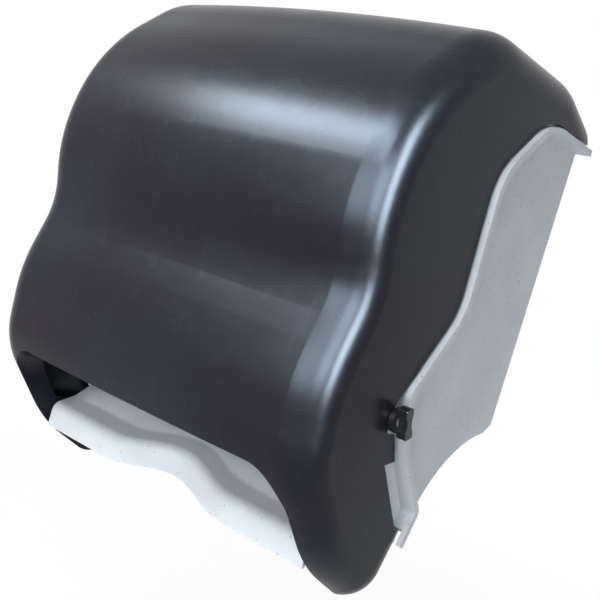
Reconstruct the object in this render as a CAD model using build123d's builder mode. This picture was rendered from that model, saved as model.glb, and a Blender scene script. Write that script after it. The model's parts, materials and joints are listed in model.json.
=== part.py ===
from build123d import *
import os
from math import cos, hypot, pi, radians, sin

# Wall-mounted roll towel dispenser with a hinged cover, a towel chute and a hand-turned feed drum.
# Millimetres. X runs to the right, Y runs back to the wall, whose face is y = 0, and Z runs up.
# The origin is the centre of the wall screw pattern. Side outlines are lists of corners,
# (depth in front of the wall, height over the lowest point of the cover, corner radius).

os.makedirs("parts", exist_ok=True)

# Wall fixing
screw_height = 250.0
wall_screw_span_x = 203.2
wall_screw_span_z = 152.4
wall_screw_radius = 2.6
wall_washer_radius = 7.0
wall_washer_sink = 0.8

# Front cover
cover_side_gap = 5.4
cover_wall_gap = 0.8
cover_wall = 2.6
cover_crown = 5.0
cover_rounding = 24.0
cover_outline = [
    (-14.0, 369.0, 0), (38.0, 387.0, 70), (155.6, 385.4, 74), (225.8, 317.8, 131), (236.5, 245.3, 124),
    (223.7, 198.5, 55), (237.3, 146.7, 121), (231.9, 86.0, 65), (176.1, 25.8, 126), (103.5, -9.0, 30),
    (82.0, 50.0, 0)]
cover_rear_edge = [
    (-10.0, 350.0, 0), (70.0, 349.0, 48), (118.0, 300.0, 45), (112.0, 206.0, 45), (154.0, 140.0, 16),
    (153.0, 112.0, 30), (101.0, 50.0, 0)]
cheek_rear_edge = [(104.5, 28.0), (108.5, 14.0)]
cover_tab = [(158.0, 121.5), (141.5, 121.5), (131.6, 104.2), (150.0, 99.5)]
cover_tab_sink = 1.4
cheek_width = 17.0
cutout_height = 88.0
cutout_corner = 26.0
cheek_return = 22.0
cheek_closed_height = 50.0
lip_front = 222.0
lip_end_gap = 4.0
lip_below = 28.0
lip_above = 22.0

# Cover hinge
hinge_depth = 101.0
hinge_height = 50.0
hinge_pin_radius = 3.0
hinge_ear_radius = 7.5
hinge_ear_thickness = 4.4
hinge_ear_gap = 0.2
hinge_relief_radius = 8.2
hinge_boss_radius = 9.0
hinge_boss_length = 3.0

# Rear housing
housing_wall = 2.6
back_plate = 3.0
housing_top = 353.5
case_room = 7.4
rim_overhang = 4.0
rim_thickness = 4.5
rim_root = 1.0
rim_outline = [
    (0.0, 346.8, 0), (70.0, 346.8, 45), (115.5, 299.0, 42), (109.5, 206.0, 42), (146.0, 149.0, 10),
    (131.5, 112.0, 60), (95.0, 70.5, 3), (102.0, 47.6, 0)]
side_wall_front = [
    (0.0, housing_top, 0), (66.0, housing_top, 52), (139.0, 303.0, 45), (133.0, 212.0, 45),
    (172.0, 158.0, 20), (172.0, 98.0, 30), (112.0, 41.5, 8), (95.0, 42.5, 0)]
bottom_front = (75.0, 71.0)
bottom_middle = (46.5, 108.0)
bottom_back = (9.0, 126.0)
back_edge_height = 133.0
bottom_rise = 2.0
screw_boss_radius = 5.0
screw_boss_length = 6.0

# Clearances
run_gap = 0.3
shaft_gap = 0.05
seat_gap = 0.05

# Feed drum
drum_depth = 150.0
drum_height = 132.0
drum_radius = 44.5
drum_wall = 3.0
drum_end_gap = 10.0
axle_radius = 4.0
axle_hole_radius = 5.5
cap_thickness = 4.0
bush_radius = 6.5
bush_flange = 1.8
bush_flange_radius = 9.0
band_count = 4
band_pitch = 52.0
band_width = 16.0
band_proud = 0.5
band_sink = 1.2
groove_width = 5.0
groove_sink = 2.0
groove_end_gap = 10.0
cap_ring = 3.8

# Knife inside the drum
knife_direction = 50.0
knife_slot_low = -3.0
knife_slot_high = 6.5
knife_pin_radius = 2.0
knife_hub_radius = 4.2
knife_pivot = (31.0, 19.0)
knife_tip = 43.0
knife_root = 27.0
knife_end_gap = 6.0
knife_thickness = 0.8
knife_slot_end = 0.5
tooth_pitch = 4.0
tooth_height = 2.0
knife_swing = 16.0

# Cam disc and roller that let the knife out
cam_thickness = 4.5
cam_bore_radius = 9.3
cam_dip = 3.0
roller_place = (18.0, 24.4)
roller_radius = 4.0
roller_width = 3.4
roller_end_gap = 0.4
roller_pin_radius = 1.6
lever_rim = 1.4
lever_thickness = 4.0

# Mechanism side frames
frame_inner = 118.0
frame_thickness = 4.0
frame_outline = [
    (9.0, 200.0, 4), (150.0, 196.0, 10), (216.0, 192.0, 12), (226.0, 150.0, 20), (222.0, 104.0, 14),
    (158.0, 70.0, 16), (112.0, 86.0, 12), (30.0, 150.0, 12), (9.0, 158.0, 4)]
foot_thickness = 3.0
frame_foot_width = 19.0
frame_foot_low = 160.0
frame_foot_high = 198.0
frame_foot_heights = (170.0, 188.0)
frame_screw_side = 11.0

# Pinch roller
pinch_radius = 9.0
pinch_shaft_radius = 3.0
pinch_lift = 2.0
pinch_block_height = 13.0
pinch_block_depth = 11.0
pinch_block_head = 2.5
pinch_block_far = 2.4
pinch_spring_length = 7.0
pinch_spring_radius = 1.9
pinch_shaft_end = 1.5
tyre_overhang = 2.0

# Roll holders
roll_depth = 112.0
roll_height = 279.0
roll_width = 203.2
roll_side_gap = 0.5
arm_room = 10.9
arm_thickness = 4.0
arm_eye = 4.0
arm_pin_radius = 2.0
arm_knuckle_radius = 5.0
arm_knuckle_depth = 21.5
arm_height = 19.0
arm_spring_height = 5.0
arm_lug_thickness = 3.0
bracket_inner = 10.0
bracket_outer = 14.0
bracket_screw_sides = (-5.5, 9.5)
hub_radius = 18.0
hub_flange_radius = 26.0
hub_flange_thickness = 3.0
hub_collar = 3.0
hub_cap = 2.7
hub_chamfer = 2.0
hub_bore_radius = 5.0
hub_depth = 5.6

# Towel chute
chute_cheek_gap = 2.5
chute_wall = 2.6
chute_section = [
    (76.8, 71.6, 0), (122.0, 76.0, 14), (152.0, 53.0, 10), (170.6, 45.5, 8.5), (170.4, 27.5, 0)]
chute_notch_half = 62.0
chute_notch_rise = 14.5
chute_notch_way = (-0.78, 0.62)
chute_steps = 5
wing_front = (116.0, 75.4)
wing_gap = 0.5
wing_root = 2.0
chute_rib = [(104.0, 72.5), (121.0, 73.5), (136.0, 64.0), (136.0, 86.0), (124.0, 98.0), (104.0, 98.0)]
chute_rib_thickness = 4.0
chute_screw_places = ((112.0, 93.0), (127.0, 89.0))

# Towel guide, stripper and transfer bar
guide_outline = [(221.0, 157.0, 0), (221.0, 108.0, 12), (206.0, 90.0, 0)]
guide_wall = 2.0
stripper_box = (136.0, 79.5, 146.0, 84.5)
finger_width = 4.0
finger_root = 2.0
finger_tip = (153.0, 88.9)
transfer_depth = 205.0
transfer_height = 176.0
transfer_rod_radius = 3.0
transfer_reach = 22.0
transfer_wall = 2.0
transfer_end_gap = 8.0
transfer_slots = 16
transfer_slot_width = 6.0
transfer_slot_depth = 5.0

# Drive spring in its case on the left
case_radius = 26.0
case_length = 13.0
case_wall = 2.0
arbor_radius = 9.0
arbor_end_gap = 1.0
drive_strip = 0.6
drive_strip_gap = 2.0
drive_strip_width = 7.0
drive_turns = 5

# Screws
screw_radius = 2.0
screw_head_radius = 3.6
screw_head_height = 2.2
screw_slot = 0.9
screw_point_gap = 1.0

# Feed knob: a waisted grip bar, leaning forward at rest, on a round collar
knob_rim_gap = 0.6
knob_radius = 10.4
knob_width = 7.0
knob_thickness = 7.6
knob_waist = 5.0
knob_waist_radius = 12.0
knob_lean = 23.0
knob_edge = 0.9
knob_bevel = 0.4
knob_collar_radius = 8.0
shaft_notch_radius = 6.0
shaft_notch_way = (14.0, 8.0)

# Cover lock
lock_depth = 34.0
lock_radius = 8.0
lock_flange_radius = 10.5
tongue_length = 19.0
tongue_width = 7.0
tongue_thickness = 2.0
lock_sink = 4.0
lock_length = 16.0
lock_face = 1.4
lock_pad_rim = 3.0
lock_pad_depth = 7.0
lock_nut_height = 3.0
lock_nut_rim = 4.0
keyway = (2.0, 9.0)
keyway_depth = 4.0

# Strike for the lock's tongue
strike_half_width = 20.0
strike_low = 338.0
strike_high = 356.0
strike_thickness = 2.0
strike_lip_inner = 9.5
strike_lip_near = 5.0
strike_lip_far = 7.5
strike_lip_rise = 4.0
strike_screw_side = 13.0
strike_screw_height = 347.0

# Widths that follow from what lies between the walls, and sizes taken from other pieces
housing_half_width = frame_inner + frame_thickness + case_length + case_room + housing_wall
cover_half_width = housing_half_width + cover_side_gap + cover_wall
rim_half_width = cover_half_width + rim_overhang
knob_inner = rim_half_width + knob_rim_gap
knob_collar_inner = cover_half_width + knob_rim_gap
cutout_half_width = cover_half_width - cheek_width
chute_half_width = cutout_half_width - chute_cheek_gap
lip_half_width = frame_inner + lip_end_gap
drum_half_length = frame_inner - drum_end_gap
knife_half_length = drum_half_length - knife_end_gap
transfer_half = frame_inner - transfer_end_gap
arm_inner = roll_width / 2 + arm_room
hub_reach = roll_width / 2 - hub_depth
groove_places = (groove_end_gap - drum_half_length, -band_pitch, 0.0, band_pitch,
                 drum_half_length - groove_end_gap)
lock_seat_height = cover_outline[1][1] - lock_sink
# Longer than the part, for cuts that go right through it.
past = 500.0


def side(depth, height):
    return (-depth, height - screw_height)


def points(corners):
    return [side(depth, height) for depth, height, _ in corners]


def radii(corners):
    return [radius for _, _, radius in corners[1:-1]]


# Moves an outline to its right-hand side, which is the inside for the outlines here.
def inset(corners, distance):
    normals = []
    for (d0, h0, _), (d1, h1, _) in zip(corners, corners[1:]):
        length = hypot(d1 - d0, h1 - h0)
        normals.append(((h1 - h0) / length, (d0 - d1) / length))
    moved = []
    for index, (depth, height, radius) in enumerate(corners):
        before = normals[max(index - 1, 0)]
        after = normals[min(index, len(normals) - 1)]
        share = distance / (1 + before[0] * after[0] + before[1] * after[1])
        turn = before[0] * after[1] - before[1] * after[0]
        new_radius = radius - distance if turn < 0 else radius + distance
        moved.append((depth + share * (before[0] + after[0]), height + share * (before[1] + after[1]),
                      new_radius if 0 < index < len(corners) - 1 else 0))
    return moved


# The closed face between an outline and the same outline moved inwards by a thickness.
def ribbon(corners, thickness):
    inner = inset(corners, thickness)
    with BuildSketch(Plane.YZ) as face:
        with BuildLine():
            FilletPolyline(points(corners), radius=radii(corners))
            FilletPolyline(points(inner), radius=radii(inner))
            Line(side(*corners[0][:2]), side(*inner[0][:2]))
            Line(side(*corners[-1][:2]), side(*inner[-1][:2]))
        make_face()
    return face.sketch


# The face enclosed by an outline and the straight line between its ends.
def region(corners):
    with BuildSketch(Plane.YZ) as face:
        with BuildLine():
            FilletPolyline(points(corners), radius=radii(corners))
            Line(side(*corners[-1][:2]), side(*corners[0][:2]))
        make_face()
    return face.sketch


# A solid block with the cover's crowned and rounded front, drawn in on all sides by shrink.
def cover_block(shrink):
    band_depth = cover_crown + cover_rounding
    half = cover_half_width - shrink
    core = region(inset(cover_outline, band_depth))
    with BuildPart() as block:
        with BuildLine(Plane.YZ) as path:
            FilletPolyline(points(cover_outline), radius=radii(cover_outline))
        start = Plane(origin=path.line @ 0, x_dir=(1, 0, 0), z_dir=path.line % 0)
        with BuildSketch(start) as section:
            with BuildLine():
                ThreePointArc((-half, -cover_crown - shrink), (0, -shrink), (half, -cover_crown - shrink))
                Polyline((half, -cover_crown - shrink), (half, -band_depth - 1), (-half, -band_depth - 1),
                         (-half, -cover_crown - shrink))
            make_face()
            fillet(section.vertices().group_by(Axis.Y)[-1], cover_rounding - shrink)
        sweep(path=path.line)
        extrude(core, amount=half, both=True)
    return block.part


# Places shared by several pieces.
drum_origin = (0.0, *side(drum_depth, drum_height))
hinge_origin = (0.0, *side(hinge_depth, hinge_height))
knife_out = (0.0, -cos(radians(knife_direction)), -sin(radians(knife_direction)))
boss_face = back_plate + screw_boss_length
foot_face = boss_face + foot_thickness
frame_outer = frame_inner + frame_thickness
band_radius = drum_radius + band_proud
band_places = [(index - (band_count - 1) / 2) * band_pitch for index in range(band_count)]
pinch_depth = drum_depth + band_radius + run_gap + pinch_radius
arm_middle = arm_inner + arm_thickness / 2
frame_screw_places = [(frame_inner + frame_screw_side, height) for height in frame_foot_heights]
bracket_screw_places = [(arm_inner + away, roll_height) for away in bracket_screw_sides]
strike_screw_places = [(-strike_screw_side, strike_screw_height), (strike_screw_side, strike_screw_height)]
# Where the roller goes when the knife swings out, in the drum's plane.
lever = (roller_place[0] - knife_pivot[0], roller_place[1] - knife_pivot[1])
swing_cos, swing_sin = cos(radians(knife_swing)), sin(radians(knife_swing))
roller_out_place = (knife_pivot[0] + lever[0] * swing_cos - lever[1] * swing_sin,
                    knife_pivot[1] + lever[0] * swing_sin + lever[1] * swing_cos)
cam_radius = hypot(*roller_out_place) - roller_radius - run_gap


# A plane across the drum at x, whose own x axis points along the knife's way out.
def drum_plane(x):
    return Plane(origin=(x, drum_origin[1], drum_origin[2]), x_dir=knife_out, z_dir=(1, 0, 0))


# A plane across the part at x, with its origin on a shaft.
def across(x, depth, height):
    y, z = side(depth, height)
    return Plane(origin=(x, y, z), x_dir=(0, 1, 0), z_dir=(1, 0, 0))


# A ring or disc round the X axis between two x places.
def disc(x0, x1, depth, height, radius, bore=0.0):
    with BuildPart() as piece:
        with BuildSketch(across(min(x0, x1), depth, height)):
            Circle(radius)
            if bore:
                Circle(bore, mode=Mode.SUBTRACT)
        extrude(amount=abs(x1 - x0))
    return piece.part


# A box between two depths, two heights and two x places.
def slab(x0, x1, depth0, depth1, height0, height1):
    with BuildPart() as piece:
        with BuildSketch(Plane.XY.offset(height0 - screw_height)):
            with Locations(((x0 + x1) / 2, -(depth0 + depth1) / 2)):
                Rectangle(abs(x1 - x0), abs(depth1 - depth0))
        extrude(amount=height1 - height0)
    return piece.part


# Slotted pan-head screws driven back into the housing, seated on a foot at face_depth.
def back_screws(places, face_depth):
    with BuildPart() as group:
        for x, height in places:
            with BuildSketch(Plane.XZ.offset(back_plate + screw_point_gap)):
                with Locations((x, height - screw_height)):
                    Circle(screw_radius)
            extrude(amount=face_depth - back_plate - screw_point_gap)
            with BuildSketch(Plane.XZ.offset(face_depth)):
                with Locations((x, height - screw_height)):
                    Circle(screw_head_radius)
            extrude(amount=screw_head_height)
            with BuildSketch(Plane.XZ.offset(face_depth + screw_head_height)):
                with Locations((x, height - screw_height)):
                    Rectangle(2 * screw_head_radius, screw_slot)
            extrude(amount=-screw_head_height / 2, mode=Mode.SUBTRACT)
    return group.part


def save(piece, name):
    piece.part.label = name
    export_step(piece.part, "parts/" + name + ".step")


# Front cover
cover_shell = cover_block(0)
cover_cavity = cover_block(cover_wall)
lining_low = -past
lining_edge = region(inset(cover_outline, cheek_return))
with BuildPart() as lining_relief:
    extrude(lining_edge, amount=past, both=True)
    add(slab(-past, past, -past, past, cheek_closed_height, past), mode=Mode.INTERSECT)
with BuildPart() as cut_lining:
    add(cover_shell)
    with BuildSketch(Plane.XZ.offset(-1)):
        with BuildLine():
            high = cutout_height + cover_wall - screw_height
            half = cutout_half_width + cover_wall
            FilletPolyline((-half, lining_low), (-half, high), (half, high), (half, lining_low),
                           radius=[cutout_corner + cover_wall] * 2)
            Line((half, lining_low), (-half, lining_low))
        make_face()
    extrude(amount=past, mode=Mode.INTERSECT)
    add(lining_relief.part, mode=Mode.SUBTRACT)
    add(slab(-lip_half_width, lip_half_width, drum_depth, lip_front, cutout_height - lip_below,
             cutout_height + lip_above), mode=Mode.SUBTRACT)
lock_z = lock_seat_height - screw_height
with BuildPart() as lock_pad:
    add(cover_shell)
    with BuildSketch(Plane.XY.offset(lock_z - lock_pad_depth)):
        with Locations((0, -lock_depth)):
            Circle(lock_flange_radius + lock_pad_rim)
    extrude(amount=past, mode=Mode.INTERSECT)
ear_root = cover_half_width - cover_wall - hinge_ear_thickness
with BuildPart() as hinge_ears:
    for way in (1, -1):
        with BuildSketch(across(way * ear_root, hinge_depth, hinge_height)):
            Circle(hinge_ear_radius)
            with Locations((-hinge_ear_radius, 0)):
                Rectangle(2 * hinge_ear_radius, 2 * hinge_ear_radius)
        extrude(amount=way * (hinge_ear_thickness + cover_wall))
    add(cover_shell, mode=Mode.INTERSECT)
with BuildPart() as front_cover:
    add(cover_shell)
    add(cover_cavity, mode=Mode.SUBTRACT)
    add(cut_lining.part)
    # The rear edge of the sides, and of the cheeks under the hinge.
    with BuildSketch(Plane.YZ):
        with BuildLine():
            FilletPolyline(points(cover_rear_edge), radius=radii(cover_rear_edge))
            Polyline(side(*cover_rear_edge[-1][:2]), *[side(*corner) for corner in cheek_rear_edge],
                     side(cheek_rear_edge[-1][0], -past), side(-past, -past), side(-past, cover_rear_edge[0][1]),
                     side(*cover_rear_edge[0][:2]))
        make_face()
    extrude(amount=past, both=True, mode=Mode.SUBTRACT)
    add(slab(-past, past, -past, cover_wall_gap, screw_height, past), mode=Mode.SUBTRACT)
    # The mouth between the cheeks.
    with BuildSketch(Plane.XZ):
        with BuildLine():
            high = cutout_height - screw_height
            FilletPolyline((-cutout_half_width, lining_low), (-cutout_half_width, high),
                           (cutout_half_width, high), (cutout_half_width, lining_low),
                           radius=[cutout_corner] * 2)
            Line((cutout_half_width, lining_low), (-cutout_half_width, lining_low))
        make_face()
    extrude(amount=past, mode=Mode.SUBTRACT)
    # Hinge ears on both sides, blind from outside.
    add(hinge_ears.part)
    for way in (1, -1):
        add(disc(way * (ear_root - 1.0), way * (ear_root + hinge_ear_thickness), hinge_depth, hinge_height,
                 hinge_pin_radius + shaft_gap), mode=Mode.SUBTRACT)
    # A tab that reaches back behind the knob.
    for way in (1, -1):
        with BuildSketch(Plane.YZ.offset(way * (cover_half_width - cover_tab_sink))):
            with BuildLine():
                Polyline(*[side(*corner) for corner in cover_tab], close=True)
            make_face()
        extrude(amount=-way * cover_wall)
    # The notch that clears the knob's shaft when the cover swings.
    with BuildSketch(across(housing_half_width, drum_depth, drum_height)):
        with Locations((0, 0), shaft_notch_way):
            Circle(shaft_notch_radius)
        make_hull()
    extrude(amount=rim_half_width - housing_half_width, mode=Mode.SUBTRACT)
    # A pad with a flat seat for the lock.
    add(lock_pad.part)
    with Locations((0, -lock_depth, lock_z)):
        Cylinder(lock_flange_radius + run_gap, 2 * lock_length, align=(Align.CENTER, Align.CENTER, Align.MIN),
                 mode=Mode.SUBTRACT)
        Cylinder(lock_radius + shaft_gap, 4 * lock_length, mode=Mode.SUBTRACT)
save(front_cover, "front_cover")

with BuildPart() as lock_barrel:
    with BuildSketch(Plane.XY.offset(lock_z)):
        with Locations((0, -lock_depth)):
            Circle(lock_flange_radius)
    extrude(amount=lock_face)
    with BuildSketch(Plane.XY.offset(lock_z)):
        with Locations((0, -lock_depth)):
            Circle(lock_radius)
    extrude(amount=-lock_length)
    with BuildSketch(Plane.XY.offset(lock_z + lock_face)):
        with Locations((0, -lock_depth)):
            Rectangle(*keyway)
    extrude(amount=-keyway_depth, mode=Mode.SUBTRACT)
save(lock_barrel, "lock_barrel")

with BuildPart() as lock_nut:
    with BuildSketch(Plane.XY.offset(lock_z - lock_pad_depth)):
        with Locations((0, -lock_depth)):
            RegularPolygon(lock_radius + lock_nut_rim, 6)
            Circle(lock_radius + shaft_gap, mode=Mode.SUBTRACT)
    extrude(amount=-lock_nut_height)
save(lock_nut, "lock_nut")

with BuildPart() as lock_tongue:
    with BuildSketch(Plane.XY.offset(lock_z - lock_length)):
        with Locations((0, -lock_depth)):
            Circle(tongue_width)
        with Locations((0, -lock_depth + tongue_length / 2)):
            Rectangle(tongue_width, tongue_length)
    extrude(amount=-tongue_thickness)
save(lock_tongue, "lock_tongue")

# Rear housing
with BuildPart() as rear_housing:
    with BuildSketch(Plane.XZ):
        with BuildLine():
            Polyline(*[(x, height - screw_height) for x, height in (
                (-housing_half_width, back_edge_height), (housing_half_width, back_edge_height),
                (housing_half_width, housing_top), (-housing_half_width, housing_top))], close=True)
        make_face()
    extrude(amount=back_plate)
    for way in (1, -1):
        # Side wall, with its hinge boss and the long foot of the bottom arc.
        with BuildSketch(Plane.YZ.offset(way * housing_half_width)):
            with BuildLine():
                FilletPolyline(points(side_wall_front), radius=radii(side_wall_front))
                Line(side(*side_wall_front[-1][:2]), side(*bottom_front))
                ThreePointArc(side(*bottom_front), side(*bottom_middle), side(*bottom_back))
                Polyline(side(*bottom_back), side(0, back_edge_height), side(*side_wall_front[0][:2]))
            make_face()
        extrude(amount=-way * housing_wall)
        # The rim that the cover's edge closes against.
        extrude(ribbon(rim_outline, rim_thickness).moved(Location((way * (housing_half_width - rim_root), 0, 0))),
                amount=way * (rim_half_width - housing_half_width + rim_root), dir=(1, 0, 0))
        add(disc(way * (housing_half_width - housing_wall - hinge_boss_length), way * housing_half_width,
                 hinge_depth, hinge_height, hinge_boss_radius))
        add(disc(way * (housing_half_width - hinge_boss_radius), way * (housing_half_width + 1.0), hinge_depth,
                 hinge_height, hinge_pin_radius + shaft_gap), mode=Mode.SUBTRACT)
        # Room for the cover's ear and cheek as they turn.
        add(disc(way * housing_half_width, way * (cover_half_width + run_gap), hinge_depth, hinge_height,
                 hinge_relief_radius), mode=Mode.SUBTRACT)
    # The sloping bottom.
    with BuildSketch(Plane.YZ):
        with BuildLine():
            ThreePointArc(side(*bottom_front), side(*bottom_middle), side(*bottom_back))
            Polyline(side(*bottom_back), side(bottom_back[0], bottom_back[1] + housing_wall),
                     side(back_plate, back_edge_height + bottom_rise / 2),
                     side(back_plate, back_edge_height + bottom_rise + housing_wall))
            ThreePointArc(side(back_plate, back_edge_height + bottom_rise + housing_wall),
                          side(bottom_middle[0] - bottom_rise, bottom_middle[1] + housing_wall),
                          side(bottom_front[0], bottom_front[1] + 2 * housing_wall))
            Line(side(bottom_front[0], bottom_front[1] + 2 * housing_wall), side(*bottom_front))
        make_face()
    extrude(amount=housing_half_width, both=True)
    # Bosses for everything screwed to the back plate.
    for x, height in (frame_screw_places + bracket_screw_places):
        for way in (1, -1):
            with BuildSketch(Plane.XZ.offset(back_plate - 0.5)):
                with Locations((way * x, height - screw_height)):
                    Circle(screw_boss_radius)
            extrude(amount=screw_boss_length + 0.5)
    with BuildSketch(Plane.XZ.offset(back_plate - 0.5)):
        with Locations(*[(x, height - screw_height) for x, height in strike_screw_places]):
            Circle(screw_boss_radius)
    extrude(amount=screw_boss_length + 0.5)
    mirrored = [(way * x, height) for x, height in frame_screw_places + bracket_screw_places
                for way in (1, -1)]
    with BuildSketch(Plane.XZ.offset(back_plate + screw_point_gap - 0.1)):
        with Locations(*[(x, height - screw_height) for x, height in mirrored + strike_screw_places]):
            Circle(screw_radius + shaft_gap)
    extrude(amount=2 * screw_boss_length, mode=Mode.SUBTRACT)
    # Wall screw holes.
    with BuildSketch(Plane.XZ):
        with GridLocations(wall_screw_span_x, wall_screw_span_z, 2, 2):
            Circle(wall_screw_radius)
    extrude(amount=back_plate, mode=Mode.SUBTRACT)
    with BuildSketch(Plane.XZ.offset(back_plate - wall_washer_sink)):
        with GridLocations(wall_screw_span_x, wall_screw_span_z, 2, 2):
            Circle(wall_washer_radius)
    extrude(amount=back_plate, mode=Mode.SUBTRACT)
    # The knob's shaft passes the right wall.
    add(disc(frame_outer, knob_inner, drum_depth, drum_height, axle_hole_radius), mode=Mode.SUBTRACT)
save(rear_housing, "rear_housing")

for way, name in ((1, "right"), (-1, "left")):
    with BuildPart() as hinge_pin:
        add(disc(way * (housing_half_width - housing_wall - hinge_boss_length),
                 way * (cover_half_width - cover_wall - hinge_ear_gap), hinge_depth, hinge_height,
                 hinge_pin_radius))
    save(hinge_pin, "hinge_pin_" + name)

# Towel chute
def chute_outline(x):
    share = 0.5 * (1 + cos(pi * x / chute_notch_half)) if abs(x) < chute_notch_half else 0.0
    back, up = [chute_notch_rise * share * part for part in chute_notch_way]
    return chute_section[:2] + [(depth + back, height + up, radius) for depth, height, radius in chute_section[2:]]


def chute_face(x):
    return ribbon(chute_outline(x), chute_wall).moved(Location((x, 0, 0)))


wing_top = [(*chute_section[0][:2], 0), (*wing_front, 0)]
wing_under = inset(wing_top, chute_wall)
with BuildSketch(Plane.YZ) as wing:
    with BuildLine():
        Polyline(*points(wing_top), *points(wing_under)[::-1], close=True)
    make_face()
notch_places = [chute_notch_half * step / chute_steps for step in range(-chute_steps, chute_steps + 1)]
with BuildPart() as towel_chute:
    # The notch for the fingers in the middle.
    loft([chute_face(x) for x in notch_places])
    for way in (1, -1):
        # The plain stretch beside it.
        extrude(chute_face(way * chute_notch_half), amount=way * (chute_half_width - chute_notch_half),
                dir=(1, 0, 0))
        # A wing that fills the space up to the housing's wall behind the cheek.
        extrude(wing.sketch.moved(Location((way * (chute_half_width - wing_root), 0, 0))),
                amount=way * (housing_half_width - housing_wall - wing_gap - chute_half_width + wing_root),
                dir=(1, 0, 0))
        with BuildSketch(Plane.YZ.offset(way * frame_inner)):
            with BuildLine():
                Polyline(*[side(*corner) for corner in chute_rib], close=True)
            make_face()
        extrude(amount=-way * chute_rib_thickness)
        for place in chute_screw_places:
            add(disc(way * (frame_inner - 2 * chute_rib_thickness), way * frame_outer, *place,
                     screw_radius + shaft_gap),
                mode=Mode.SUBTRACT)
save(towel_chute, "towel_chute")

with BuildPart() as chute_screws:
    for way in (1, -1):
        for place in chute_screw_places:
            add(disc(way * (frame_inner - chute_rib_thickness), way * frame_outer, *place, screw_radius))
            add(disc(way * frame_outer, way * (frame_outer + screw_head_height), *place, screw_head_radius))
save(chute_screws, "chute_screws")

# Mechanism side frames
for way, name in ((1, "right"), (-1, "left")):
    with BuildPart() as side_frame:
        with BuildSketch(Plane.YZ.offset(way * frame_inner)):
            with BuildLine():
                FilletPolyline(points(frame_outline + frame_outline[:1])[:-1],
                               radius=[corner[2] for corner in frame_outline], close=True)
            make_face()
        extrude(amount=way * frame_thickness)
        add(slab(way * frame_inner, way * (frame_inner + frame_foot_width), boss_face, foot_face,
                 frame_foot_low, frame_foot_high))
        with BuildSketch(Plane.XZ.offset(boss_face - 1.0)):
            with Locations(*[(way * x, height - screw_height) for x, height in frame_screw_places]):
                Circle(screw_radius + shaft_gap)
        extrude(amount=foot_thickness + 2.0, mode=Mode.SUBTRACT)
        low, high = way * (frame_inner - 1.0), way * (frame_outer + 1.0)
        add(disc(low, high, drum_depth, drum_height, bush_radius), mode=Mode.SUBTRACT)
        add(disc(low, high, transfer_depth, transfer_height, transfer_rod_radius + shaft_gap),
            mode=Mode.SUBTRACT)
        for place in chute_screw_places:
            add(disc(low, high, *place, screw_radius + shaft_gap), mode=Mode.SUBTRACT)
        add(slab(low, high, pinch_depth - pinch_block_depth / 2 - run_gap,
                 pinch_depth + pinch_block_depth / 2 + pinch_spring_length,
                 drum_height - pinch_block_height / 2 - run_gap, drum_height + pinch_block_height / 2 + run_gap),
            mode=Mode.SUBTRACT)
    save(side_frame, "side_frame_" + name)

    with BuildPart() as drum_bush:
        add(disc(way * (frame_inner - bush_flange), way * frame_inner, drum_depth, drum_height,
                 bush_flange_radius, axle_radius + shaft_gap))
        add(disc(way * frame_inner, way * frame_outer, drum_depth, drum_height, bush_radius - seat_gap,
                 axle_radius + shaft_gap))
    save(drum_bush, "drum_bush_" + name)

    with BuildPart() as pinch_block:
        add(slab(way * frame_inner, way * (frame_outer + run_gap), pinch_depth - pinch_block_depth / 2,
                 pinch_depth + pinch_block_depth / 2, drum_height - pinch_block_height / 2,
                 drum_height + pinch_block_height / 2))
        add(slab(way * (frame_outer + run_gap), way * (frame_outer + pinch_block_far),
                 pinch_depth - pinch_block_depth / 2, pinch_depth + pinch_block_depth / 2,
                 drum_height - pinch_block_height / 2 - pinch_block_head,
                 drum_height + pinch_block_height / 2 + pinch_block_head))
        add(disc(way * (frame_inner - 1.0), way * (frame_outer + pinch_block_far + 1.0), pinch_depth,
                 drum_height, pinch_shaft_radius + shaft_gap), mode=Mode.SUBTRACT)
    save(pinch_block, "pinch_block_" + name)

    with BuildPart() as pinch_spring:
        with BuildSketch(Plane(origin=(way * (frame_inner + frame_thickness / 2),
                                       *side(pinch_depth + pinch_block_depth / 2 + seat_gap, drum_height)),
                               x_dir=(1, 0, 0), z_dir=(0, -1, 0))):
            Circle(pinch_spring_radius)
        extrude(amount=pinch_spring_length - 2 * seat_gap)
    save(pinch_spring, "pinch_spring_" + name)

# Pinch roller
with BuildPart() as pinch_shaft:
    add(disc(-frame_outer - pinch_shaft_end, frame_outer + pinch_shaft_end, pinch_depth, drum_height,
             pinch_shaft_radius))
save(pinch_shaft, "pinch_shaft")
with BuildPart() as pinch_tyres:
    for x in band_places:
        add(disc(x - band_width / 2 - tyre_overhang, x + band_width / 2 + tyre_overhang, pinch_depth,
                 drum_height, pinch_radius, pinch_shaft_radius + seat_gap))
save(pinch_tyres, "pinch_tyres")

# Feed drum, with its knife slot along one side and grooves for the grip bands and stripper fingers.
with BuildPart() as knife_slot:
    with BuildSketch(drum_plane(-drum_half_length + cap_thickness + knife_slot_end)):
        with Locations((drum_radius, (knife_slot_low + knife_slot_high) / 2)):
            Rectangle(4 * drum_wall, knife_slot_high - knife_slot_low)
    extrude(amount=2 * (drum_half_length - cap_thickness - knife_slot_end))
with BuildPart() as feed_drum:
    add(disc(-drum_half_length, drum_half_length, drum_depth, drum_height, drum_radius, drum_radius - drum_wall))
    for x in band_places:
        add(disc(x - band_width / 2, x + band_width / 2, drum_depth, drum_height, drum_radius + 1,
                 drum_radius - band_sink), mode=Mode.SUBTRACT)
    for x in groove_places:
        add(disc(x - groove_width / 2, x + groove_width / 2, drum_depth, drum_height, drum_radius + 1,
                 drum_radius - groove_sink), mode=Mode.SUBTRACT)
    add(knife_slot.part, mode=Mode.SUBTRACT)
save(feed_drum, "feed_drum")
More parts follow.
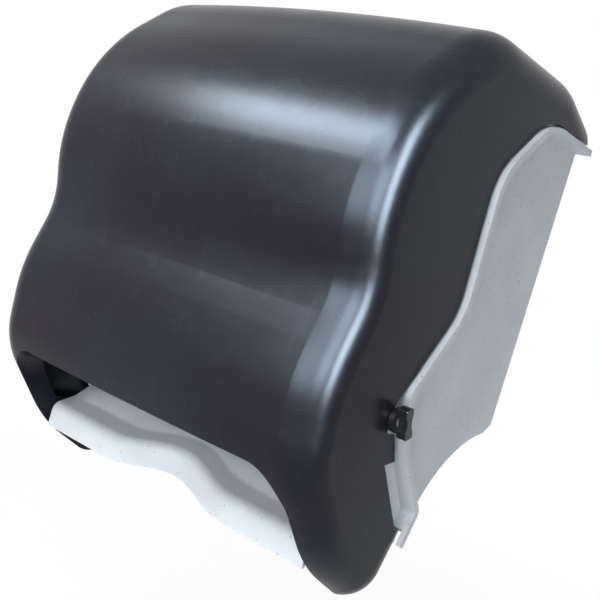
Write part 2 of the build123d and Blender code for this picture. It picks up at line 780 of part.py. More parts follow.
with BuildPart() as grip_bands:
    for x in band_places:
        add(disc(x - band_width / 2 + seat_gap, x + band_width / 2 - seat_gap, drum_depth, drum_height,
                 band_radius, drum_radius - band_sink))
    add(knife_slot.part, mode=Mode.SUBTRACT)
save(grip_bands, "grip_bands")

for way, name in ((1, "right"), (-1, "left")):
    with BuildPart() as drum_cap:
        add(disc(way * drum_half_length, way * (drum_half_length + cap_thickness), drum_depth, drum_height,
                 drum_radius))
        add(disc(way * (drum_half_length - cap_ring), way * drum_half_length, drum_depth, drum_height,
                 drum_radius - drum_wall - seat_gap, drum_radius - 2 * drum_wall))
        add(disc(way * knife_half_length, way * frame_inner, drum_depth, drum_height, axle_radius + seat_gap),
            mode=Mode.SUBTRACT)
        with BuildSketch(drum_plane(way * knife_half_length)):
            with Locations(knife_pivot):
                Circle(knife_pin_radius + seat_gap)
        extrude(amount=way * (frame_inner - knife_half_length), mode=Mode.SUBTRACT)
        if way < 0:
            # The slot in which the roller's pin swings.
            with BuildSketch(drum_plane(-knife_half_length)):
                with Locations(roller_place, roller_out_place):
                    Circle(roller_pin_radius + 4 * run_gap)
                make_hull()
            extrude(amount=knife_half_length - frame_inner, mode=Mode.SUBTRACT)
    save(drum_cap, "drum_cap_" + name)

with BuildPart() as drum_axle:
    add(disc(-frame_outer - case_length + case_wall + arbor_end_gap, knob_inner - seat_gap, drum_depth,
             drum_height, axle_radius))
save(drum_axle, "drum_axle")

# Knife on its carrier, which turns on a pin held by the drum's caps.
with BuildPart() as knife_pin:
    with BuildSketch(drum_plane(-drum_half_length - cap_thickness)):
        with Locations(knife_pivot):
            Circle(knife_pin_radius)
    extrude(amount=2 * (drum_half_length + cap_thickness))
save(knife_pin, "knife_pin")
with BuildPart() as knife_carrier:
    with BuildSketch(drum_plane(-knife_half_length)):
        with Locations(knife_pivot):
            Circle(knife_hub_radius)
        with BuildLine():
            Polyline((knife_root, knife_thickness / 2), (knife_root + 2 * knife_hub_radius, knife_thickness / 2),
                     (knife_pivot[0] + knife_pin_radius + lever_rim, knife_pivot[1]),
                     (knife_pivot[0] - knife_pin_radius - lever_rim, knife_pivot[1]), close=True)
        make_face()
    extrude(amount=2 * knife_half_length)
    with BuildSketch(drum_plane(-knife_half_length)):
        with Locations(knife_pivot, roller_place):
            Circle(roller_pin_radius + lever_rim)
        make_hull()
    extrude(amount=lever_thickness)
    with BuildSketch(drum_plane(-knife_half_length)):
        with Locations(roller_place):
            Circle(roller_pin_radius)
    extrude(amount=-(frame_inner - knife_half_length - roller_end_gap))
    with BuildSketch(drum_plane(-knife_half_length - 1.0)):
        with Locations(knife_pivot):
            Circle(knife_pin_radius + shaft_gap)
    extrude(amount=2 * knife_half_length + 2.0, mode=Mode.SUBTRACT)
save(knife_carrier, "knife_carrier")
tooth_count = int(2 * knife_half_length / tooth_pitch)
with BuildPart() as knife_blade:
    knife_plane = Plane(origin=(0, drum_origin[1], drum_origin[2]), x_dir=(1, 0, 0),
                        z_dir=Vector(*knife_out).cross(Vector(1, 0, 0)))
    with BuildSketch(knife_plane.offset(-knife_thickness / 2)) as blade_face:
        way_out = 1 if knife_plane.y_dir.dot(Vector(*knife_out)) > 0 else -1
        with BuildLine():
            teeth = []
            for index in range(tooth_count):
                left = -knife_half_length + index * tooth_pitch
                teeth += [(left, knife_tip - tooth_height), (left + tooth_pitch / 2, knife_tip)]
            teeth.append((knife_half_length, knife_tip - tooth_height))
            Polyline(*[(x, way_out * y) for x, y in
                       [(-knife_half_length, knife_root)] + teeth + [(knife_half_length, knife_root)]],
                     close=True)
        make_face()
    extrude(amount=knife_thickness)
save(knife_blade, "knife_blade")
with BuildPart() as cam_roller:
    with BuildSketch(drum_plane(-frame_inner + 2 * roller_end_gap)):
        with Locations(roller_place):
            Circle(roller_radius)
            Circle(roller_pin_radius + seat_gap, mode=Mode.SUBTRACT)
    extrude(amount=roller_width)
save(cam_roller, "cam_roller")
with BuildPart() as knife_cam:
    # The rim is low enough to clear the roller at every angle, with a dip where the knife goes out.
    dip_share = (cam_radius - cam_dip + 2 * roller_radius) / hypot(*roller_out_place)
    with BuildSketch(drum_plane(-frame_inner)):
        Circle(cam_radius)
        Circle(cam_bore_radius, mode=Mode.SUBTRACT)
        with Locations((roller_out_place[0] * dip_share, roller_out_place[1] * dip_share)):
            Circle(2 * roller_radius, mode=Mode.SUBTRACT)
    extrude(amount=cam_thickness)
save(knife_cam, "knife_cam")

# Spiral drive spring on the left, which carries each turn of the drum to its end.
case_near, case_far = -frame_outer, -frame_outer - case_length
with BuildPart() as spring_case:
    add(disc(case_far, case_near, drum_depth, drum_height, case_radius))
    add(disc(case_far + case_wall, case_near, drum_depth, drum_height, case_radius - case_wall),
        mode=Mode.SUBTRACT)
save(spring_case, "spring_case")
with BuildPart() as spring_arbor:
    add(disc(case_near - arbor_end_gap, case_far + case_wall + arbor_end_gap, drum_depth, drum_height,
             arbor_radius, axle_radius + seat_gap))
save(spring_arbor, "spring_arbor")
spiral_first = arbor_radius + drive_strip
spiral_last = case_radius - case_wall - drive_strip
spiral_step = (spiral_last - spiral_first) / (2 * drive_turns)
with BuildPart() as drive_spring:
    with BuildSketch(across(case_far + case_wall + drive_strip_gap, drum_depth, drum_height)):
        with BuildLine():
            for index in range(2 * drive_turns):
                radius = spiral_first + index * spiral_step
                turn = 1 if index % 2 == 0 else -1
                far = -turn * (radius + spiral_step)
                middle = (turn * radius + far) / 2
                ThreePointArc((turn * radius, 0), (middle, turn * (radius + spiral_step / 2)), (far, 0))
        trace(line_width=drive_strip)
    extrude(amount=drive_strip_width)
save(drive_spring, "drive_spring")

# Feed knob
with BuildPart() as feed_knob:
    with BuildSketch(across(knob_inner, drum_depth, drum_height)):
        Circle(knob_radius)
        Rectangle(2 * knob_radius, knob_thickness, rotation=90 + knob_lean, mode=Mode.INTERSECT)
        with PolarLocations(knob_waist / 2 + knob_waist_radius, 2, start_angle=knob_lean):
            Circle(knob_waist_radius, mode=Mode.SUBTRACT)
    extrude(amount=knob_width)
    fillet(feed_knob.edges().filter_by(Axis.X), knob_edge)
    chamfer(feed_knob.faces().sort_by(Axis.X)[-1].edges(), knob_bevel)
    add(disc(knob_collar_inner, knob_inner, drum_depth, drum_height, knob_collar_radius))
    add(disc(knob_collar_inner, knob_inner, drum_depth, drum_height, axle_radius + seat_gap),
        mode=Mode.SUBTRACT)
save(feed_knob, "feed_knob")

# Towel guide in front of the pinch roller, stripper under the drum and transfer bar over it
with BuildPart() as towel_guide:
    extrude(ribbon(guide_outline, guide_wall), amount=frame_inner, both=True)
save(towel_guide, "towel_guide")
with BuildPart() as stripper_bar:
    half = frame_inner - chute_rib_thickness
    add(slab(-half, half, stripper_box[0], stripper_box[2], stripper_box[1], stripper_box[3]))
    for x in groove_places:
        with BuildSketch(Plane.YZ.offset(x - finger_width / 2)):
            with BuildLine():
                Polyline(side(stripper_box[0] + finger_root, stripper_box[3] - finger_root / 4),
                         side(stripper_box[2], stripper_box[3] - finger_root), side(*finger_tip),
                         side(stripper_box[0] + finger_root, stripper_box[3] + finger_root / 2), close=True)
            make_face()
        extrude(amount=finger_width)
save(stripper_bar, "stripper_bar")
with BuildPart() as transfer_bar:
    add(disc(-frame_outer, frame_outer, transfer_depth, transfer_height, transfer_rod_radius))
    add(slab(-transfer_half, transfer_half, transfer_depth - transfer_reach, transfer_depth,
             transfer_height - transfer_wall / 2, transfer_height + transfer_wall / 2))
    with BuildSketch(Plane.XY.offset(transfer_height - screw_height - transfer_wall)):
        with GridLocations(2 * transfer_half / transfer_slots, 0, transfer_slots, 1):
            with Locations((0, -transfer_depth + transfer_reach)):
                Rectangle(transfer_slot_width, 2 * transfer_slot_depth)
    extrude(amount=2 * transfer_wall, mode=Mode.SUBTRACT)
save(transfer_bar, "transfer_bar")

# Roll holders: a bracket, its pin, the sprung arm and the hub that carries the roll's core
for way, name in ((1, "right"), (-1, "left")):
    lug_low = roll_height - arm_height / 2 - run_gap - arm_lug_thickness
    lug_high = roll_height + arm_height / 2 + run_gap + arm_spring_height + arm_lug_thickness
    with BuildPart() as arm_bracket:
        add(slab(way * (arm_inner - bracket_inner), way * (arm_inner + bracket_outer), boss_face, foot_face,
                 lug_low, lug_high))
        for low in (lug_low, lug_high - arm_lug_thickness):
            add(slab(way * (arm_middle - arm_knuckle_radius), way * (arm_middle + arm_knuckle_radius),
                     foot_face - 0.5, arm_knuckle_depth, low, low + arm_lug_thickness))
            with BuildSketch(Plane.XY.offset(low - screw_height)):
                with Locations((way * arm_middle, -arm_knuckle_depth)):
                    Circle(arm_knuckle_radius)
            extrude(amount=arm_lug_thickness)
        with BuildSketch(Plane.XY.offset(lug_low - screw_height - 1.0)):
            with Locations((way * arm_middle, -arm_knuckle_depth)):
                Circle(arm_pin_radius + seat_gap)
        extrude(amount=2 * (lug_high - lug_low), mode=Mode.SUBTRACT)
        with BuildSketch(Plane.XZ.offset(boss_face - 1.0)):
            with Locations(*[(way * x, height - screw_height) for x, height in bracket_screw_places]):
                Circle(screw_radius + shaft_gap)
        extrude(amount=foot_thickness + 2.0, mode=Mode.SUBTRACT)
    save(arm_bracket, "arm_bracket_" + name)

    with BuildPart() as arm_pin:
        with BuildSketch(Plane.XY.offset(lug_low - screw_height)):
            with Locations((way * arm_middle, -arm_knuckle_depth)):
                Circle(arm_pin_radius)
        extrude(amount=lug_high - lug_low)
    save(arm_pin, "arm_pin_" + name)

    with BuildPart() as arm_spring:
        with BuildSketch(Plane.XY.offset(lug_high - arm_lug_thickness - arm_spring_height - screw_height)):
            with Locations((way * arm_middle, -arm_knuckle_depth)):
                Circle(arm_knuckle_radius - 2 * run_gap)
                Circle(arm_pin_radius + run_gap, mode=Mode.SUBTRACT)
        extrude(amount=arm_spring_height - seat_gap)
    save(arm_spring, "arm_spring_" + name)

    with BuildPart() as roll_arm:
        with BuildSketch(Plane.XY.offset(roll_height - arm_height / 2 - screw_height)):
            with Locations((way * arm_middle, -arm_knuckle_depth)):
                Circle(arm_knuckle_radius)
            with Locations((way * arm_middle, -(arm_knuckle_depth + roll_depth) / 2)):
                Rectangle(arm_thickness, roll_depth - arm_knuckle_depth)
            with Locations((way * arm_middle, -arm_knuckle_depth)):
                Circle(arm_pin_radius + shaft_gap, mode=Mode.SUBTRACT)
        extrude(amount=arm_height)
        add(disc(way * arm_inner, way * (arm_inner + arm_thickness), roll_depth, roll_height,
                 arm_height / 2 + arm_eye))
        add(disc(way * (hub_reach + hub_cap + run_gap), way * arm_inner, roll_depth, roll_height,
                 hub_bore_radius))
    save(roll_arm, "roll_arm_" + name)

    with BuildPart() as core_hub:
        flange = roll_width / 2 + roll_side_gap
        add(disc(way * hub_reach, way * flange, roll_depth, roll_height, hub_radius))
        add(disc(way * flange, way * (flange + hub_flange_thickness), roll_depth, roll_height,
                 hub_flange_radius))
        add(disc(way * (flange + hub_flange_thickness), way * (arm_inner - run_gap), roll_depth, roll_height,
                 hub_bore_radius + hub_collar))
        add(disc(way * (hub_reach + hub_cap), way * arm_inner, roll_depth, roll_height,
                 hub_bore_radius + shaft_gap), mode=Mode.SUBTRACT)
        chamfer(core_hub.edges().filter_by(GeomType.CIRCLE).sort_by(Axis.X)[-1 if way < 0 else 0], hub_chamfer)
    save(core_hub, "core_hub_" + name)

# Strike for the lock's tongue
with BuildPart() as lock_strike:
    add(slab(-strike_half_width, strike_half_width, boss_face, boss_face + strike_thickness, strike_low,
             strike_high))
    add(slab(-strike_half_width, strike_half_width, boss_face, lock_depth + strike_lip_far,
             strike_high - strike_thickness, strike_high))
    add(slab(strike_lip_inner, strike_half_width, lock_depth + strike_lip_near, lock_depth + strike_lip_far,
             strike_high - strike_thickness, lock_seat_height - lock_length + strike_lip_rise))
    with BuildSketch(Plane.XZ.offset(boss_face - 1.0)):
        with Locations(*[(x, height - screw_height) for x, height in strike_screw_places]):
            Circle(screw_radius + shaft_gap)
    extrude(amount=2 * strike_thickness, mode=Mode.SUBTRACT)
save(lock_strike, "lock_strike")

# Screws into the back plate's bosses
with BuildPart() as frame_screws:
    add(back_screws([(way * x, height) for x, height in frame_screw_places for way in (1, -1)], foot_face))
save(frame_screws, "frame_screws")
with BuildPart() as bracket_screws:
    add(back_screws([(way * x, height) for x, height in bracket_screw_places for way in (1, -1)], foot_face))
save(bracket_screws, "bracket_screws")
with BuildPart() as strike_screws:
    add(back_screws(strike_screw_places, boss_face + strike_thickness))
save(strike_screws, "strike_screws")
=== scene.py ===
import json
import math

import bpy
from mathutils import Matrix, Vector


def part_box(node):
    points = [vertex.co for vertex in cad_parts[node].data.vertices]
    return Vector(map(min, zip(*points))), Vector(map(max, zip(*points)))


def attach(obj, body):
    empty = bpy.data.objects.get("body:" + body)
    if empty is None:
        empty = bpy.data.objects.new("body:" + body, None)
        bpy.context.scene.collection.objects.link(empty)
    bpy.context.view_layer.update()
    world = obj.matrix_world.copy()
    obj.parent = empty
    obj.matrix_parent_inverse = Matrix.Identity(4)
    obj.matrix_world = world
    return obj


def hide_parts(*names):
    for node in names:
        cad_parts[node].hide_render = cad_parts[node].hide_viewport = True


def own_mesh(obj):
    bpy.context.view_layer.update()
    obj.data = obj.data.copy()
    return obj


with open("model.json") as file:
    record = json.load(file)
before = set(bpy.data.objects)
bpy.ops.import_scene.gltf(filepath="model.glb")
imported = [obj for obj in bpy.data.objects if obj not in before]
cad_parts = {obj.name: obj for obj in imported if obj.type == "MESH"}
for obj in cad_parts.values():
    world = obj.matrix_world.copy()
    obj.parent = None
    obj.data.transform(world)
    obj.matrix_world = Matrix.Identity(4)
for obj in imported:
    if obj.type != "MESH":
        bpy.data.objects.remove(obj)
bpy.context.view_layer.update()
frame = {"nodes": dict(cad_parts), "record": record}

nodes = frame["nodes"]
print("frame loaded,", len(nodes), "nodes")


def mm(value):
    return value * 0.001


# Camera, at the angle of the photograph
cameraSet = {
    "azimuth": 37.98,
    "elevation": 2.12,
    "roll": 16.89,
    "distance": 0.6782,
    "target": (0.0322, -0.120, -0.0685),
    "lens": 56.83,
    "sensor": 36.0,
}


def makeCamera(values):
    az, el, roll = (math.radians(values[key]) for key in ("azimuth", "elevation", "roll"))
    forward = Vector((-math.sin(az) * math.cos(el), math.cos(az) * math.cos(el), -math.sin(el)))
    level = Vector((math.cos(az), math.sin(az), 0.0))
    plumb = level.cross(forward)
    right = math.cos(roll) * level + math.sin(roll) * plumb
    up = right.cross(forward)
    data = bpy.data.cameras.new("camera")
    data.lens, data.sensor_width = values["lens"], values["sensor"]
    data.clip_start, data.clip_end = 0.01, 20.0
    camera = bpy.data.objects.new("camera", data)
    turn = Matrix((right, up, -forward)).transposed().to_4x4()
    turn.translation = Vector(values["target"]) - values["distance"] * forward
    camera.matrix_world = turn
    bpy.context.collection.objects.link(camera)
    bpy.context.scene.camera = camera


makeCamera(cameraSet)
print("camera made")


# Material helpers
def startMaterial(name):
    material = bpy.data.materials.new(name)
    material.use_nodes = True
    tree = material.node_tree
    shader = tree.nodes["Principled BSDF"]
    return material, tree, shader


def addNode(tree, kind, **values):
    node = tree.nodes.new(kind)
    for key, value in values.items():
        if hasattr(node, key):
            setattr(node, key, value)
        else:
            node.inputs[key.replace("_", " ")].default_value = value
    return node


def objectPoints(tree):
    return addNode(tree, "ShaderNodeTexCoord").outputs["Object"]


def noise(tree, points, scale, detail=2.0, roughness=0.5):
    node = addNode(tree, "ShaderNodeTexNoise", Scale=scale, Detail=detail, Roughness=roughness)
    tree.links.new(points, node.inputs["Vector"])
    return node.outputs["Fac"]


def ramp(tree, value, stops):
    node = addNode(tree, "ShaderNodeValToRGB")
    band = node.color_ramp
    for place, color in stops[2:]:
        band.elements.new(place)
    for element, (place, color) in zip(band.elements, sorted(stops)):
        element.position, element.color = place, (*color, 1.0)
    tree.links.new(value, node.inputs["Fac"])
    return node.outputs["Color"]


def grey(value):
    return (value, value, value)


def mixColor(tree, share, first, second, blend="MIX"):
    node = addNode(tree, "ShaderNodeMix", data_type="RGBA", blend_type=blend)
    for socket, value in ((0, share), (6, first), (7, second)):
        if hasattr(value, "is_output"):
            tree.links.new(value, node.inputs[socket])
        else:
            node.inputs[socket].default_value = value
    return node.outputs[2]


def spread(tree, value, source, target):
    node = addNode(tree, "ShaderNodeMapRange", From_Min=source[0], From_Max=source[1],
                   To_Min=target[0], To_Max=target[1])
    tree.links.new(value, node.inputs["Value"])
    return node.outputs["Result"]


def multiply(tree, first, second):
    node = addNode(tree, "ShaderNodeMath", operation="MULTIPLY")
    tree.links.new(first, node.inputs[0])
    tree.links.new(second, node.inputs[1])
    return node.outputs[0]


def addBump(tree, shader, height, strength, distance):
    node = addNode(tree, "ShaderNodeBump", Strength=strength, Distance=distance)
    tree.links.new(height, node.inputs["Height"])
    tree.links.new(node.outputs["Normal"], shader.inputs["Normal"])


noiseReach = (0.2, 0.8)  # nearly all noise values lie between these
cloudEnds = (0.3, 0.7)  # noise values that get the darkest and the lightest colour

# Dark smoke plastic with a fine satin grain, and a painted warm reflection along its top edge
smokeSet = {
    "plum": (0.011, 0.008, 0.012),
    "slate": (0.012, 0.0135, 0.020),
    # The warm entries set the painted warm reflection along the top edge: its colour, heights, share and
    # patches
    "warmReflection": (0.085, 0.022, 0.022),
    "sheenTint": (0.74, 0.87, 1.0, 1.0),
    "cloudScale": 7.0,
    "cloudBand": (0.38, 0.62),
    "speckScale": 1100.0,
    "speckBand": (0.35, 0.65),
    "speckShade": 0.82,
    "reflectionHeights": (0.124, 0.138),  # metres, from none to the most
    "reflectionShare": 0.32,
    "reflectionScale": 12.0,
    "reflectionBand": (0.45, 0.62),
    "roughScale": 70.0,
    "roughness": (0.24, 0.29),
    "specular": 0.13,
    "grainScale": 1700.0,
    "grainBump": 0.16,
    "grainDepth": 0.0002,
}


def makeSmoke(values):
    material, tree, shader = startMaterial("smokeCover")
    points = objectPoints(tree)
    low, high = values["cloudBand"]
    clouds = noise(tree, points, values["cloudScale"], 3.0)
    body = ramp(tree, clouds, [(low, values["plum"]), (high, values["slate"])])
    low, high = values["speckBand"]
    specks = noise(tree, points, values["speckScale"], 1.0)
    shades = ramp(tree, specks, [(low, grey(values["speckShade"])), (high, grey(1.0))])
    body = mixColor(tree, 1.0, body, shades, "MULTIPLY")
    height = addNode(tree, "ShaderNodeSeparateXYZ")
    tree.links.new(points, height.inputs[0])
    # Painted warm reflection: a reddish tint in patches, growing towards the top edge
    reflectionNearTop = spread(tree, height.outputs["Z"], values["reflectionHeights"], (0.0, values["reflectionShare"]))
    reflectionPatches = spread(tree, noise(tree, points, values["reflectionScale"], 1.0), values["reflectionBand"], (0.0, 1.0))
    paintedReflection = multiply(tree, reflectionNearTop, reflectionPatches)
    tree.links.new(mixColor(tree, paintedReflection, body, (*values["warmReflection"], 1.0)), shader.inputs["Base Color"])
    smears = noise(tree, points, values["roughScale"], 4.0)
    rough = spread(tree, smears, noiseReach, values["roughness"])
    tree.links.new(rough, shader.inputs["Roughness"])
    shader.inputs["Specular IOR Level"].default_value = values["specular"]
    shader.inputs["Specular Tint"].default_value = values["sheenTint"]
    grain = noise(tree, points, values["grainScale"], 1.0)
    addBump(tree, shader, grain, values["grainBump"], values["grainDepth"])
    return material


# Pale grey moulded plastic with dark flecks of two sizes
graniteSet = {
    "pale": (0.56, 0.585, 0.615),
    "shade": (0.50, 0.52, 0.555),
    "cloudScale": 24.0,
    "fleck": (0.17, 0.18, 0.20),
    "flecks": [
        # cells per metre, fleck radius as a share of a cell, share of cells left bare, strength
        (190.0, 0.115, 0.42, 0.85),
        (430.0, 0.110, 0.40, 0.45),
    ],
    "fleckCore": 0.7,  # share of the radius that has the full strength
    "bareEdge": 0.02,
    "roughness": 0.52,
    "specular": 0.09,
    "sheenTint": (0.86, 0.95, 1.0, 1.0),
    "grainScale": 700.0,
    "grainBump": 0.18,
    "grainDepth": 0.0003,
}


def makeGranite(values):
    material, tree, shader = startMaterial("granitePlastic")
    points = objectPoints(tree)
    clouds = noise(tree, points, values["cloudScale"], 4.0)
    color = ramp(tree, clouds, [(cloudEnds[0], values["shade"]), (cloudEnds[1], values["pale"])])
    for scale, radius, bare, strength in values["flecks"]:
        cells = addNode(tree, "ShaderNodeTexVoronoi", Scale=scale)
        tree.links.new(points, cells.inputs["Vector"])
        edge = (radius, radius * values["fleckCore"])
        near = spread(tree, cells.outputs["Distance"], edge, (0.0, strength))
        pick = addNode(tree, "ShaderNodeSeparateColor")
        tree.links.new(cells.outputs["Color"], pick.inputs[0])
        chosen = spread(tree, pick.outputs[0], (bare, bare + values["bareEdge"]), (0.0, 1.0))
        color = mixColor(tree, multiply(tree, near, chosen), color, (*values["fleck"], 1.0))
    tree.links.new(color, shader.inputs["Base Color"])
    shader.inputs["Roughness"].default_value = values["roughness"]
    shader.inputs["Specular IOR Level"].default_value = values["specular"]
    shader.inputs["Specular Tint"].default_value = values["sheenTint"]
    grain = noise(tree, points, values["grainScale"], 2.0)
    addBump(tree, shader, grain, values["grainBump"], values["grainDepth"])
    return material


# Plain moulded plastics, rubber and metals
plainSets = {
    "blackPlastic": {"dark": (0.010, 0.010, 0.011), "light": (0.018, 0.018, 0.020), "metal": 0.0,
                     "roughness": (0.16, 0.28), "specular": 0.30, "scale": 90.0, "bump": 0.05},
    "greyPlastic": {"dark": (0.22, 0.23, 0.25), "light": (0.30, 0.31, 0.33), "metal": 0.0,
                    "roughness": (0.46, 0.58), "specular": 0.14, "scale": 60.0, "bump": 0.12},
    "steel": {"dark": (0.50, 0.50, 0.51), "light": (0.66, 0.66, 0.67), "metal": 1.0,
              "roughness": (0.24, 0.40), "specular": 0.50, "scale": 120.0, "bump": 0.06},
    "springSteel": {"dark": (0.36, 0.36, 0.38), "light": (0.52, 0.52, 0.54), "metal": 1.0,
                    "roughness": (0.22, 0.36), "specular": 0.50, "scale": 200.0, "bump": 0.05},
    "rubber": {"dark": (0.020, 0.020, 0.020), "light": (0.038, 0.038, 0.037), "metal": 0.0,
               "roughness": (0.70, 0.85), "specular": 0.20, "scale": 160.0, "bump": 0.2},
}
plainGrain = {"finer": 9.0, "depth": 0.0002}  # grain cells for each cloud, and the grain's depth


def makePlain(name, values):
    material, tree, shader = startMaterial(name)
    points = objectPoints(tree)
    cloud = noise(tree, points, values["scale"], 4.0)
    color = ramp(tree, cloud, [(cloudEnds[0], values["dark"]), (cloudEnds[1], values["light"])])
    tree.links.new(color, shader.inputs["Base Color"])
    tree.links.new(spread(tree, cloud, noiseReach, values["roughness"]), shader.inputs["Roughness"])
    shader.inputs["Metallic"].default_value = values["metal"]
    shader.inputs["Specular IOR Level"].default_value = values["specular"]
    grain = noise(tree, points, values["scale"] * plainGrain["finer"], 2.0)
    addBump(tree, shader, grain, values["bump"], plainGrain["depth"])
    return material


finishes = {name: makePlain(name, values) for name, values in plainSets.items()}
finishes["smokeCover"] = makeSmoke(smokeSet)
finishes["granitePlastic"] = makeGranite(graniteSet)
slotFinish = {
    "smoke_cover": "smokeCover",
    "granite_plastic": "granitePlastic",
    "black_plastic": "blackPlastic",
    "grey_plastic": "greyPlastic",
    "steel": "steel",
    "spring_steel": "springSteel",
    "rubber": "rubber",
}
print("materials made")


def dressNodes():
    for row in frame["record"]["subparts"]:
        piece = nodes[row["node"]]
        material = finishes[slotFinish[row["material_slot"]]]
        if not piece.material_slots:
            piece.data.materials.append(material)
        for slot in piece.material_slots:
            slot.material = material


dressNodes()


# Coil springs, wound by a node tree
coilSteps = {"perTurn": 18, "wireSides": 8}


def coilTree(material):
    tree = bpy.data.node_groups.new("coilSpring", "GeometryNodeTree")
    inputs = {"Radius": 0.002, "Length": 0.007, "Turns": 6.0, "Wire": 0.0003}
    for name, value in inputs.items():
        socket = tree.interface.new_socket(name, in_out="INPUT", socket_type="NodeSocketFloat")
        socket.default_value = value
    tree.interface.new_socket("Mesh", in_out="OUTPUT", socket_type="NodeSocketGeometry")
    given = tree.nodes.new("NodeGroupInput")
    spiral = tree.nodes.new("GeometryNodeCurveSpiral")
    spiral.inputs["Resolution"].default_value = coilSteps["perTurn"]
    profile = tree.nodes.new("GeometryNodeCurvePrimitiveCircle")
    profile.inputs["Resolution"].default_value = coilSteps["wireSides"]
    sweep = tree.nodes.new("GeometryNodeCurveToMesh")
    sweep.inputs["Fill Caps"].default_value = True
    realize = tree.nodes.new("GeometryNodeRealizeInstances")
    paint = tree.nodes.new("GeometryNodeSetMaterial")
    paint.inputs["Material"].default_value = material
    result = tree.nodes.new("NodeGroupOutput")
    link = tree.links.new
    link(given.outputs["Radius"], spiral.inputs["Start Radius"])
    link(given.outputs["Radius"], spiral.inputs["End Radius"])
    link(given.outputs["Length"], spiral.inputs["Height"])
    link(given.outputs["Turns"], spiral.inputs["Rotations"])
    link(given.outputs["Wire"], profile.inputs["Radius"])
    link(spiral.outputs["Curve"], sweep.inputs["Curve"])
    link(profile.outputs["Curve"], sweep.inputs["Profile Curve"])
    link(sweep.outputs["Mesh"], realize.inputs["Geometry"])
    link(realize.outputs["Geometry"], paint.inputs["Geometry"])
    link(paint.outputs["Geometry"], result.inputs["Mesh"])
    return tree


def growPiece(name, tree, values, place=Matrix.Identity(4)):
    holder = bpy.data.objects.new(name + "Source", bpy.data.meshes.new(name + "Source"))
    bpy.context.collection.objects.link(holder)
    modifier = holder.modifiers.new("grow", "NODES")
    modifier.node_group = tree
    for item in tree.interface.items_tree:
        if item.in_out == "INPUT" and item.name in values:
            modifier[item.identifier] = values[item.name]
    bpy.context.view_layer.update()
    grown = holder.evaluated_get(bpy.context.evaluated_depsgraph_get())
    mesh = bpy.data.meshes.new_from_object(grown)
    mesh.transform(place)
    mesh.polygons.foreach_set("use_smooth", [True] * len(mesh.polygons))
    bpy.data.objects.remove(holder)
    piece = bpy.data.objects.new(name, mesh)
    bpy.context.collection.objects.link(piece)
    return piece


# Sizes in mm; pressed is the share of its length that is left when the pinch roller gives way
pinchSpringSet = {"radius": 1.55, "turns": 7.0, "wire": 0.3, "endRoom": 0.35, "pressed": 0.66}
armSpringSet = {"radius": 3.4, "turns": 4.0, "wire": 0.55, "endRoom": 0.6}


def makeSprings():
    tree = coilTree(finishes["springSteel"])
    for side in ("left", "right"):
        for kind, values, axis in (("pinch", pinchSpringSet, "Y"), ("arm", armSpringSet, "Z")):
            low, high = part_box(f"{kind}_spring_{side}")
            index = "XYZ".index(axis)
            length = high[index] - low[index] - 2 * mm(values["endRoom"])
            start = [(a + b) / 2 for a, b in zip(low, high)]
            start[index] = low[index] + mm(values["endRoom"])
            place = Matrix.Translation(start)
            if axis == "Y":
                place = place @ Matrix.Rotation(-math.pi / 2, 4, "X")
            piece = growPiece(f"{kind}Coil_{side}", tree, {
                "Radius": mm(values["radius"]), "Length": length,
                "Turns": values["turns"], "Wire": mm(values["wire"])}, place)
            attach(piece, "root")
            if kind == "pinch":
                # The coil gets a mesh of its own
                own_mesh(piece)
            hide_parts(f"{kind}_spring_{side}")


makeSprings()
print("springs made")


# Floor, lamps and world
studioSet = {
    "floorHeight": -0.40,
    "floorSize": 24.0,
    "floorColor": (0.90, 0.90, 0.90, 1.0),
    "floorRoughness": 0.9,
    "shadeReach": (0.35, 1.1),  # metres from the object, from the shaded floor to the white one
    "nearGlow": 0.90,
    "worldColor": (0.95, 0.98, 1.0, 1.0),
    "worldStrength": 0.30,
    "lamps": [
        # name, place, size across and up, power, colour, kind of ray that doesn't see it
        # The boxes light the object, and the sheens show only in its gloss
        ("keyBox", (-0.10, -1.36, 1.12), (1.9, 0.60), 29.0, (0.97, 0.99, 1.0), "glossy"),
        ("frontBox", (-0.10, -1.80, 0.12), (1.4, 0.60), 18.0, (0.97, 0.99, 1.0), "glossy"),
        ("highSheen", (-0.15, -1.38, 0.92), (2.4, 0.46), 200.0, (0.86, 0.95, 1.0), "diffuse"),
        ("lowSheen", (0.15, -1.78, 0.20), (1.7, 0.80), 110.0, (0.84, 0.94, 1.0), "diffuse"),
        ("cornerSheen", (1.25, -1.25, 0.25), (0.80, 0.80), 95.0, (0.84, 0.94, 1.0), "diffuse"),
        ("sideSheen", (1.64, -0.50, 0.42), (0.50, 1.3), 210.0, (0.88, 0.95, 1.0), "diffuse"),
    ],
    "aim": (0.0, -0.12, -0.05),
}


# 1 for a ray from the camera, or one that shows the background in gloss or through glass
def backgroundRays(tree):
    path = addNode(tree, "ShaderNodeLightPath")
    total = path.outputs["Is Camera Ray"]
    for name in ("Is Glossy Ray", "Is Transmission Ray"):
        node = addNode(tree, "ShaderNodeMath", operation="MAXIMUM")
        tree.links.new(total, node.inputs[0])
        tree.links.new(path.outputs[name], node.inputs[1])
        total = node.outputs[0]
    return total


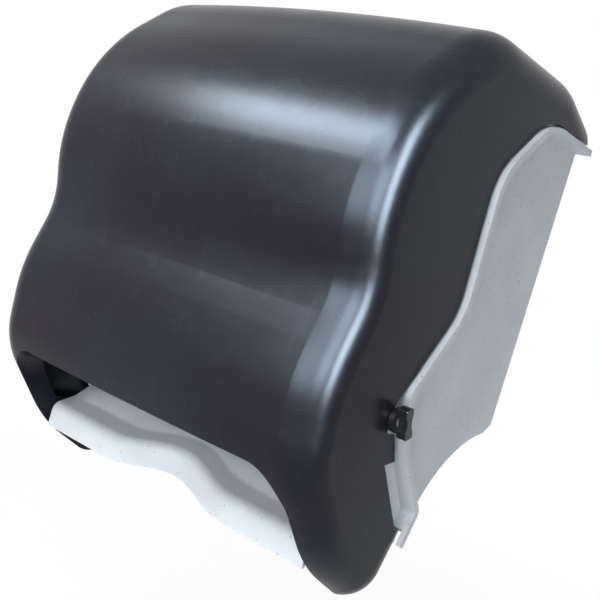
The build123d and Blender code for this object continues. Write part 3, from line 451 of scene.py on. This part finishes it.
def makeFloor(values):
    half = values["floorSize"] / 2
    mesh = bpy.data.meshes.new("floor")
    corners = [(-half, -half), (half, -half), (half, half), (-half, half)]
    mesh.from_pydata([(x, y, values["floorHeight"]) for x, y in corners], [], [(0, 1, 2, 3)])
    floor = bpy.data.objects.new("floor", mesh)
    bpy.context.collection.objects.link(floor)
    material, tree, shader = startMaterial("floorWhite")
    shader.inputs["Base Color"].default_value = values["floorColor"]
    shader.inputs["Roughness"].default_value = values["floorRoughness"]
    glow = addNode(tree, "ShaderNodeEmission", Strength=1.0)
    reach = addNode(tree, "ShaderNodeVectorMath", operation="LENGTH")
    tree.links.new(objectPoints(tree), reach.inputs[0])
    fade = spread(tree, reach.outputs["Value"], values["shadeReach"], (values["nearGlow"], 1.0))
    mix = addNode(tree, "ShaderNodeMixShader")
    tree.links.new(multiply(tree, backgroundRays(tree), fade), mix.inputs[0])
    tree.links.new(shader.outputs[0], mix.inputs[1])
    tree.links.new(glow.outputs[0], mix.inputs[2])
    tree.links.new(mix.outputs[0], tree.nodes["Material Output"].inputs["Surface"])
    floor.data.materials.append(material)


def makeWorld(values):
    world = bpy.data.worlds.new("studio")
    bpy.context.scene.world = world
    world.use_nodes = True
    tree = world.node_tree
    soft = tree.nodes["Background"]
    soft.inputs["Color"].default_value = values["worldColor"]
    soft.inputs["Strength"].default_value = values["worldStrength"]
    white = addNode(tree, "ShaderNodeBackground", Strength=1.0)
    white.inputs["Color"].default_value = (1.0, 1.0, 1.0, 1.0)
    mix = addNode(tree, "ShaderNodeMixShader")
    tree.links.new(backgroundRays(tree), mix.inputs[0])
    tree.links.new(soft.outputs[0], mix.inputs[1])
    tree.links.new(white.outputs[0], mix.inputs[2])
    tree.links.new(mix.outputs[0], tree.nodes["World Output"].inputs["Surface"])


def makeLamps(values):
    for name, place, size, power, color, unseenBy in values["lamps"]:
        data = bpy.data.lights.new(name, "AREA")
        data.shape, data.size, data.size_y = "RECTANGLE", size[0], size[1]
        data.energy, data.color = power, color
        lamp = bpy.data.objects.new(name, data)
        setattr(lamp, "visible_" + unseenBy, False)
        lamp.location = place
        lamp.rotation_mode = "QUATERNION"
        lamp.rotation_quaternion = (Vector(values["aim"]) - Vector(place)).to_track_quat("-Z", "Y")
        bpy.context.collection.objects.link(lamp)


makeFloor(studioSet)
makeWorld(studioSet)
makeLamps(studioSet)
bpy.context.scene.view_settings.view_transform = "Standard"
print("studio made")

bpy.context.view_layer.update()
